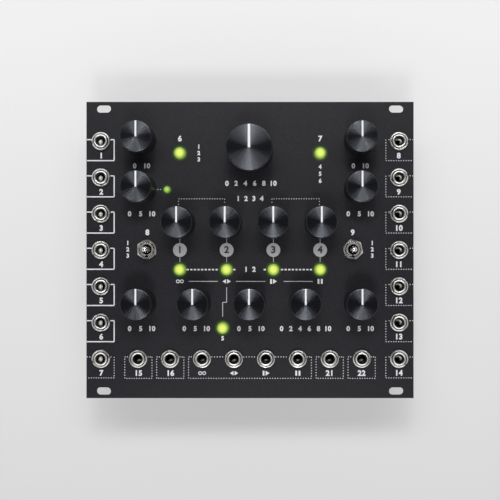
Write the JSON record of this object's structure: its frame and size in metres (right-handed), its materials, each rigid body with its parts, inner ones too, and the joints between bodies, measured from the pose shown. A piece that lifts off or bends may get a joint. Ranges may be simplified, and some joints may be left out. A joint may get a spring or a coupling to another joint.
{
  "type": "tape delay module",
  "caption": "Rack synthesizer module for tape delay: black panel with turned pointer knobs, lit buttons, toggle switches and jack sockets in front of its circuit boards.",
  "frame": {"origin": "centre of the panel's outline in X and Y, at the height of the power header's mouth, on which the module lies", "axes": "+X to the right and +Y up the panel as it is read, +Z out of the panel's front"},
  "size_m": [0.142, 0.1284, 0.0515],
  "materials": {
    "panel_black": "satin black powder coat with pale print",
    "knob_black": "turned and black anodised, with a white pointer line",
    "nickel": "bright nickel plate",
    "jack_nickel": "bright nickel barrel and nut on a black plastic housing",
    "lit_cap": "translucent cap lit yellow-green",
    "board": "black solder mask on glass fibre board with parts",
    "connector": "black moulded plastic",
    "spacer_brass": "turned brass with steel screws"
  },
  "bodies": {
    "module": {"front_panel": "panel_black", "control_board": "board", "main_board": "board", "power_header": "connector", "left_stacking_connector": "connector", "right_stacking_connector": "connector", "board_spacer_1": "spacer_brass", "board_spacer_2": "spacer_brass", "board_spacer_3": "spacer_brass", "board_spacer_4": "spacer_brass", "heads_toggle_body": "nickel", "heads_toggle_nut": "nickel", "pan_toggle_body": "nickel", "pan_toggle_nut": "nickel", "left_in_jack": "jack_nickel", "right_in_jack": "jack_nickel", "left_out_jack": "jack_nickel", "right_out_jack": "jack_nickel", "send_jack": "jack_nickel", "return_jack": "jack_nickel", "clock_in_jack": "jack_nickel", "speed_cv_jack": "jack_nickel", "wet_cv_jack": "jack_nickel", "repeats_cv_jack": "jack_nickel", "clock_1_out_jack": "jack_nickel", "clock_2_out_jack": "jack_nickel", "clock_3_out_jack": "jack_nickel", "clock_4_out_jack": "jack_nickel", "record_gate_jack": "jack_nickel", "shift_gate_jack": "jack_nickel", "infinity_gate_jack": "jack_nickel", "reverse_gate_jack": "jack_nickel", "play_gate_jack": "jack_nickel", "pause_gate_jack": "jack_nickel", "tap_gate_jack": "jack_nickel", "spring_gate_jack": "jack_nickel", "record_level_light": "lit_cap"},
    "dry_dial": {"dry_knob": "knob_black"},
    "record_level_dial": {"record_level_knob": "knob_black"},
    "speed_dial": {"speed_knob": "knob_black"},
    "wet_dial": {"wet_knob": "knob_black"},
    "repeats_dial": {"repeats_knob": "knob_black"},
    "head_1_dial": {"head_1_knob": "knob_black"},
    "head_2_dial": {"head_2_knob": "knob_black"},
    "head_3_dial": {"head_3_knob": "knob_black"},
    "head_4_dial": {"head_4_knob": "knob_black"},
    "low_cut_dial": {"low_cut_knob": "knob_black"},
    "tape_age_dial": {"tape_age_knob": "knob_black"},
    "crinkle_dial": {"crinkle_knob": "knob_black"},
    "wow_flutter_dial": {"wow_flutter_knob": "knob_black"},
    "spring_dial": {"spring_knob": "knob_black"},
    "modes_key": {"modes_button": "lit_cap"},
    "tap_key": {"tap_button": "lit_cap"},
    "head_1_key": {"head_1_button": "lit_cap"},
    "head_2_key": {"head_2_button": "lit_cap"},
    "head_3_key": {"head_3_button": "lit_cap"},
    "head_4_key": {"head_4_button": "lit_cap"},
    "transport_key": {"transport_button": "lit_cap"},
    "heads_lever": {"heads_toggle_lever": "nickel"},
    "pan_lever": {"pan_toggle_lever": "nickel"}
  },
  "joints": [
    {"name": "dry_turn", "type": "hinge", "parent": "module", "child": "dry_dial", "pos_m": [-0.0474, 0.04748, 0.0353], "axis": [0, 0, 1], "range_deg": [-150, 150]},
    {"name": "record_level_turn", "type": "hinge", "parent": "module", "child": "record_level_dial", "pos_m": [-0.0474, 0.02648, 0.0353], "axis": [0, 0, 1], "range_deg": [-150, 150]},
    {"name": "speed_turn", "type": "hinge", "parent": "module", "child": "speed_dial", "pos_m": [0, 0.0429, 0.0353], "axis": [0, 0, 1], "range_deg": [-150, 150]},
    {"name": "wet_turn", "type": "hinge", "parent": "module", "child": "wet_dial", "pos_m": [0.0474, 0.04748, 0.0353], "axis": [0, 0, 1], "range_deg": [-150, 150]},
    {"name": "repeats_turn", "type": "hinge", "parent": "module", "child": "repeats_dial", "pos_m": [0.0474, 0.02648, 0.0353], "axis": [0, 0, 1], "range_deg": [-150, 150]},
    {"name": "head_1_turn", "type": "hinge", "parent": "module", "child": "head_1_dial", "pos_m": [-0.03041, 0.0116, 0.0353], "axis": [0, 0, 1], "range_deg": [-150, 150]},
    {"name": "head_2_turn", "type": "hinge", "parent": "module", "child": "head_2_dial", "pos_m": [-0.01014, 0.0116, 0.0353], "axis": [0, 0, 1], "range_deg": [-150, 150]},
    {"name": "head_3_turn", "type": "hinge", "parent": "module", "child": "head_3_dial", "pos_m": [0.01014, 0.0116, 0.0353], "axis": [0, 0, 1], "range_deg": [-150, 150]},
    {"name": "head_4_turn", "type": "hinge", "parent": "module", "child": "head_4_dial", "pos_m": [0.03041, 0.0116, 0.0353], "axis": [0, 0, 1], "range_deg": [-150, 150]},
    {"name": "low_cut_turn", "type": "hinge", "parent": "module", "child": "low_cut_dial", "pos_m": [-0.0474, -0.0229, 0.0353], "axis": [0, 0, 1], "range_deg": [-150, 150]},
    {"name": "tape_age_turn", "type": "hinge", "parent": "module", "child": "tape_age_dial", "pos_m": [-0.0237, -0.0229, 0.0353], "axis": [0, 0, 1], "range_deg": [-150, 150]},
    {"name": "crinkle_turn", "type": "hinge", "parent": "module", "child": "crinkle_dial", "pos_m": [0, -0.0229, 0.0353], "axis": [0, 0, 1], "range_deg": [-150, 150]},
    {"name": "wow_flutter_turn", "type": "hinge", "parent": "module", "child": "wow_flutter_dial", "pos_m": [0.0237, -0.0229, 0.0353], "axis": [0, 0, 1], "range_deg": [-150, 150]},
    {"name": "spring_turn", "type": "hinge", "parent": "module", "child": "spring_dial", "pos_m": [0.0474, -0.0229, 0.0353], "axis": [0, 0, 1], "range_deg": [-150, 150]},
    {"name": "modes_press", "type": "slide", "parent": "module", "child": "modes_key", "axis": [0, 0, -1], "range_m": [0, 0.0005], "stiffness_N_per_m": 1000},
    {"name": "tap_press", "type": "slide", "parent": "module", "child": "tap_key", "axis": [0, 0, -1], "range_m": [0, 0.0005], "stiffness_N_per_m": 1000},
    {"name": "head_1_press", "type": "slide", "parent": "module", "child": "head_1_key", "axis": [0, 0, -1], "range_m": [0, 0.0005], "stiffness_N_per_m": 1000},
    {"name": "head_2_press", "type": "slide", "parent": "module", "child": "head_2_key", "axis": [0, 0, -1], "range_m": [0, 0.0005], "stiffness_N_per_m": 1000},
    {"name": "head_3_press", "type": "slide", "parent": "module", "child": "head_3_key", "axis": [0, 0, -1], "range_m": [0, 0.0005], "stiffness_N_per_m": 1000},
    {"name": "head_4_press", "type": "slide", "parent": "module", "child": "head_4_key", "axis": [0, 0, -1], "range_m": [0, 0.0005], "stiffness_N_per_m": 1000},
    {"name": "transport_press", "type": "slide", "parent": "module", "child": "transport_key", "axis": [0, 0, -1], "range_m": [0, 0.0005], "stiffness_N_per_m": 1000},
    {"name": "heads_tilt", "type": "hinge", "parent": "module", "child": "heads_lever", "pos_m": [-0.0445, 0.0002, 0.0363], "axis": [1, 0, 0], "range_deg": [-12, 12]},
    {"name": "pan_tilt", "type": "hinge", "parent": "module", "child": "pan_lever", "pos_m": [0.0445, 0.0002, 0.0363], "axis": [1, 0, 0], "range_deg": [-12, 12]}
  ]
}
